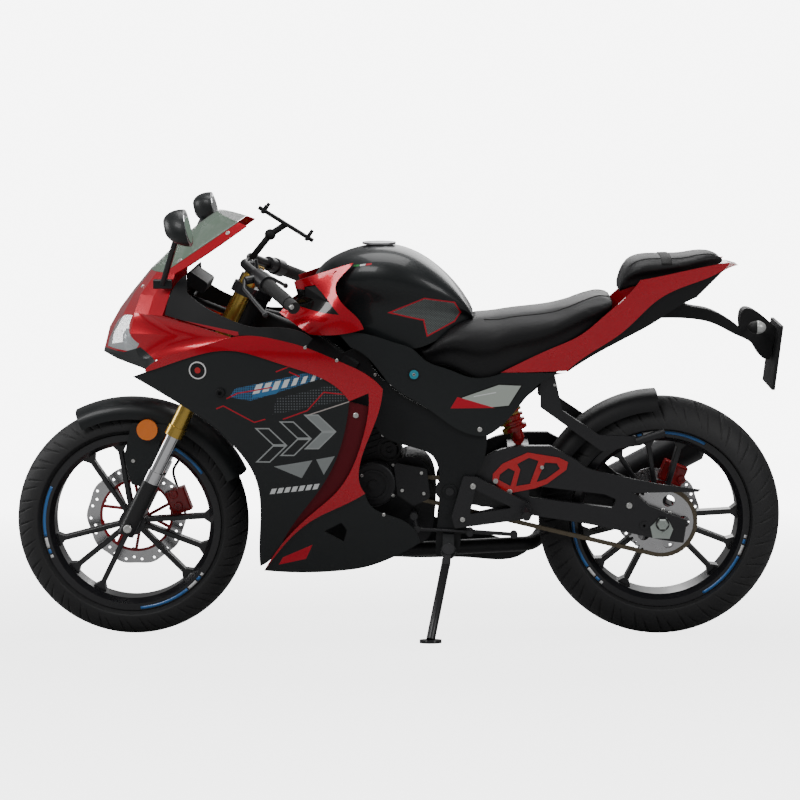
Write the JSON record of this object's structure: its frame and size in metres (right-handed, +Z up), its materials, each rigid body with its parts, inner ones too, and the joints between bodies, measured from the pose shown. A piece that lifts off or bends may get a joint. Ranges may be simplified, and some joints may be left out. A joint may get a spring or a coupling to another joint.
{
  "type": "sport motorcycle",
  "caption": "Faired sport motorcycle leaning on its side stand, with turning steering, rolling wheels and a folding stand.",
  "frame": {"origin": "on the floor, in the middle of the leaning machine's box: midway between the front edge of the front tyre and the rear edge of the rear tyre, and midway between the outer edges of the mirrors", "axes": "+X to the rear, +Y to the machine's right, +Z up from the floor; the machine leans to its left, towards -Y"},
  "size_m": [1.9336, 0.7962, 1.1519],
  "materials": {
    "tyre": "matte",
    "wheel_black": "gloss",
    "steel": "brushed",
    "gold": "satin",
    "chrome": "polished",
    "black_metal": "satin",
    "frame_black": "satin",
    "alu": "satin",
    "engine_grey": "satin",
    "red_paint": "gloss",
    "red_plastic": "gloss",
    "black_plastic": "satin",
    "tank_black": "satin",
    "rubber": "matte",
    "seat_vinyl": "matte",
    "clear": "clear",
    "smoke": "smoked",
    "amber": "clear",
    "red_lens": "clear",
    "chain_steel": "satin"
  },
  "bodies": {
    "chassis": {"chain": "chain_steel", "frame_main": "frame_black", "subframe": "frame_black", "engine_block": "engine_grey", "engine_covers": "engine_grey", "radiator": "black_metal", "exhaust": "steel", "fuel_tank": "tank_black", "fuel_cap": "alu", "tank_shrouds": "red_plastic", "mid_panels": "black_plastic", "seat_rider": "seat_vinyl", "seat_pillion": "seat_vinyl", "tail_panels": "red_plastic", "tail_tray": "black_plastic", "tail_lamp": "red_lens", "plate_hanger": "black_plastic", "nose_cowl": "red_plastic", "headlamps": "clear", "windshield": "smoke", "instrument_panel": "black_plastic", "mirrors": "black_plastic", "side_band": "red_plastic", "side_ribbon": "red_plastic", "side_panel": "black_plastic", "lower_fairing": "black_plastic", "inner_panels": "black_plastic", "swing_arm": "black_metal", "heel_guard": "red_paint", "shock": "red_paint", "rear_hugger": "black_plastic", "rear_caliper": "red_paint", "nose_lip": "black_plastic", "footrests": "alu", "foot_controls": "alu"},
    "steering": {"fork_outer_tubes": "gold", "fork_legs": "chrome", "handlebar": "black_metal", "grips": "rubber", "control_levers": "black_metal", "front_fender": "black_plastic", "fork_reflectors": "amber", "front_caliper": "red_paint", "phone_holder": "black_plastic", "front_brake_hose": "rubber"},
    "front_wheel": {"front_tyre": "tyre", "front_rim": "wheel_black", "front_disc": "steel"},
    "rear_wheel": {"rear_tyre": "tyre", "rear_rim": "wheel_black", "rear_disc": "steel", "rear_sprocket": "steel"},
    "side_stand": {"side_stand": "black_metal"}
  },
  "joints": [
    {"name": "steering_turn", "type": "hinge", "parent": "chassis", "child": "steering", "pos_m": [-0.3812, 0.03746, 0.78698], "axis": [0.4462, -0.1323, 0.8851], "range_deg": [-30, 30]},
    {"name": "front_wheel_spin", "type": "hinge", "parent": "steering", "child": "front_wheel", "pos_m": [-0.674, 0.11167, 0.29039], "axis": [0, 0.989, 0.1478], "continuous": true},
    {"name": "rear_wheel_spin", "type": "hinge", "parent": "chassis", "child": "rear_wheel", "pos_m": [0.661, 0.10972, 0.30346], "axis": [0, 0.989, 0.1478], "continuous": true},
    {"name": "side_stand_fold", "type": "hinge", "parent": "chassis", "child": "side_stand", "pos_m": [0.127, -0.04334, 0.21807], "axis": [0.0289, -0.8929, 0.4493], "range_deg": [0, 96]}
  ]
}
